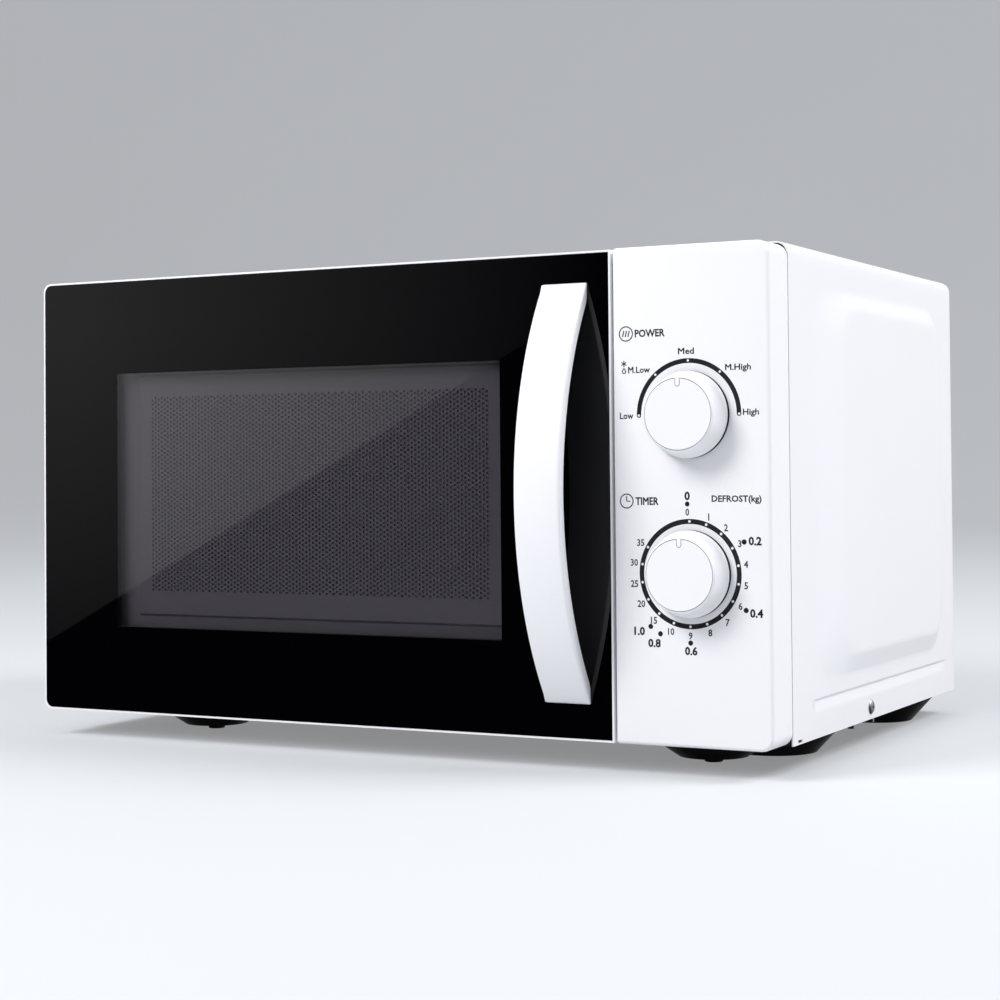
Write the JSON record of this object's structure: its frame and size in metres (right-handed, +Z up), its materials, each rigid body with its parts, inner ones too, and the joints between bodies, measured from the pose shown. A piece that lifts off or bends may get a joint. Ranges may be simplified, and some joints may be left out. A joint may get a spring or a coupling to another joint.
{
  "type": "microwave oven",
  "caption": "Countertop microwave oven with a side-hung glass door, bow handle, power and timer knobs, and a turntable cooking space.",
  "frame": {"origin": "on the floor under the middle of the outer box", "axes": "+X to the right seen from the front, +Y to the back, +Z up"},
  "size_m": [0.447, 0.3458, 0.258],
  "materials": {
    "white_enamel": "satin white baked enamel",
    "black_enamel": "satin black paint",
    "zinc_steel": "zinc plated sheet",
    "oven_enamel": "light grey epoxy paint",
    "screen_enamel": "dark grey paint on a perforated sheet",
    "white_abs": "gloss moulding",
    "white_acetal": "moulded",
    "black_plastic": "fine moulded texture",
    "grey_plastic": "moulded",
    "ivory_plastic": "moulded",
    "red_plastic": "moulded",
    "circuit_board": "fibreglass board",
    "mica": "pressed mica sheet",
    "foot_rubber": "moulded rubber",
    "black_glass": "tempered, printed black on its back round a clear window",
    "clear_glass": "pressed tempered glass",
    "clear_film": "clear sheet",
    "aluminium": "as rolled",
    "lamination_steel": "stacked varnished laminations",
    "copper_wire": "enamelled winding",
    "bell_metal": "stamped",
    "spring_steel": "drawn wire"
  },
  "bodies": {
    "root": {"cabinet_cover": "white_enamel", "base_plate": "black_enamel", "back_plate": "zinc_steel", "front_feet": "foot_rubber", "cabinet_screws": "zinc_steel", "front_plate": "oven_enamel", "cavity_box": "oven_enamel", "waveguide": "zinc_steel", "waveguide_cover": "mica", "interlock_bracket": "white_acetal", "primary_switch": "black_plastic", "secondary_switch": "black_plastic", "monitor_switch": "black_plastic", "magnetron_yoke": "zinc_steel", "magnetron_core": "aluminium", "magnetron_filter_box": "zinc_steel", "thermal_cutout": "black_plastic", "transformer_core": "lamination_steel", "transformer_windings": "copper_wire", "chassis_screws": "zinc_steel", "capacitor": "aluminium", "capacitor_clamp": "zinc_steel", "high_voltage_diode": "black_plastic", "noise_filter_board": "circuit_board", "cord_gland": "black_plastic", "fan_shroud": "ivory_plastic", "fan_motor": "lamination_steel", "oven_lamp": "clear_glass", "lamp_holder": "ivory_plastic", "turntable_motor": "zinc_steel", "control_panel": "white_abs", "timer_unit": "grey_plastic", "timer_bell": "bell_metal", "power_selector": "grey_plastic", "upper_hinge": "zinc_steel", "lower_hinge": "zinc_steel"},
    "door": {"door_frame": "white_abs", "door_glass": "black_glass", "door_screen": "screen_enamel", "inner_window": "clear_film", "choke_cover": "black_plastic", "door_handle": "white_abs", "handle_screws": "zinc_steel", "latch_spring": "spring_steel"},
    "latch": {"latch_hook": "white_acetal"},
    "timer": {"timer_knob": "white_abs", "timer_shaft": "zinc_steel"},
    "power": {"power_knob": "white_abs", "power_shaft": "zinc_steel"},
    "turntable": {"glass_tray": "clear_glass", "turntable_coupler": "white_acetal"},
    "rollers_ring": {"roller_ring": "white_acetal"},
    "roller_wheel_1": {"roller_1": "white_acetal"},
    "roller_wheel_2": {"roller_2": "white_acetal"},
    "roller_wheel_3": {"roller_3": "white_acetal"},
    "fan": {"fan_blade": "ivory_plastic", "fan_rotor": "zinc_steel"},
    "primary_button": {"primary_plunger": "red_plastic"},
    "secondary_button": {"secondary_plunger": "red_plastic"},
    "monitor_button": {"monitor_plunger": "red_plastic"}
  },
  "joints": [
    {"name": "door_hinge", "type": "hinge", "parent": "root", "child": "door", "pos_m": [-0.2105, -0.12405, 0.1345], "axis": [0, 0, -1], "range_deg": [0, 100]},
    {"name": "latch_slide", "type": "slide", "parent": "door", "child": "latch", "axis": [0, 0, 1], "range_m": [0, 0.004], "stiffness_N_per_m": 150, "springref_m": -0.003, "deforming": ["latch_spring"]},
    {"name": "timer_turn", "type": "hinge", "parent": "root", "child": "timer", "pos_m": [0.1783, -0.13905, 0.0979], "axis": [0, 1, 0], "range_deg": [0, 300]},
    {"name": "power_turn", "type": "hinge", "parent": "root", "child": "power", "pos_m": [0.1783, -0.13905, 0.1743], "axis": [0, 1, 0], "range_deg": [-90, 90]},
    {"name": "turntable_spin", "type": "hinge", "parent": "root", "child": "turntable", "pos_m": [-0.0475, 0.02525, 0.0445], "axis": [0, 0, 1], "continuous": true},
    {"name": "ring_roll", "type": "hinge", "parent": "root", "child": "rollers_ring", "pos_m": [-0.0475, 0.02525, 0.0446], "axis": [0, 0, 1], "continuous": true},
    {"name": "fan_spin", "type": "hinge", "parent": "root", "child": "fan", "pos_m": [0.166, 0.14095, 0.1865], "axis": [0, 1, 0], "continuous": true},
    {"name": "roller_1_spin", "type": "hinge", "parent": "rollers_ring", "child": "roller_wheel_1", "pos_m": [0.0485, 0.02525, 0.0446], "axis": [-1, 0, 0], "continuous": true},
    {"name": "roller_2_spin", "type": "hinge", "parent": "rollers_ring", "child": "roller_wheel_2", "pos_m": [-0.0955, 0.10839, 0.0446], "axis": [0.5, -0.866, 0], "continuous": true},
    {"name": "roller_3_spin", "type": "hinge", "parent": "rollers_ring", "child": "roller_wheel_3", "pos_m": [-0.0955, -0.05789, 0.0446], "axis": [0.5, 0.866, 0], "continuous": true},
    {"name": "primary_press", "type": "slide", "parent": "root", "child": "primary_button", "axis": [0, -1, 0], "range_m": [0, 0.0012]},
    {"name": "secondary_press", "type": "slide", "parent": "root", "child": "secondary_button", "axis": [0, -1, 0], "range_m": [0, 0.0012]},
    {"name": "monitor_press", "type": "slide", "parent": "root", "child": "monitor_button", "axis": [0, -1, 0], "range_m": [0, 0.0012]}
  ],
  "couplings": [
    {"joint": "ring_roll", "follows": "turntable_spin", "ratio": 0.5},
    {"joint": "roller_1_spin", "follows": "turntable_spin", "ratio": 6},
    {"joint": "roller_2_spin", "follows": "turntable_spin", "ratio": 6},
    {"joint": "roller_3_spin", "follows": "turntable_spin", "ratio": 6},
    {"joint": "primary_press", "follows": "door_hinge", "m_per_rad": 0.00068748},
    {"joint": "secondary_press", "follows": "door_hinge", "m_per_rad": 0.00068748},
    {"joint": "monitor_press", "follows": "door_hinge", "m_per_rad": 0.00068748}
  ]
}
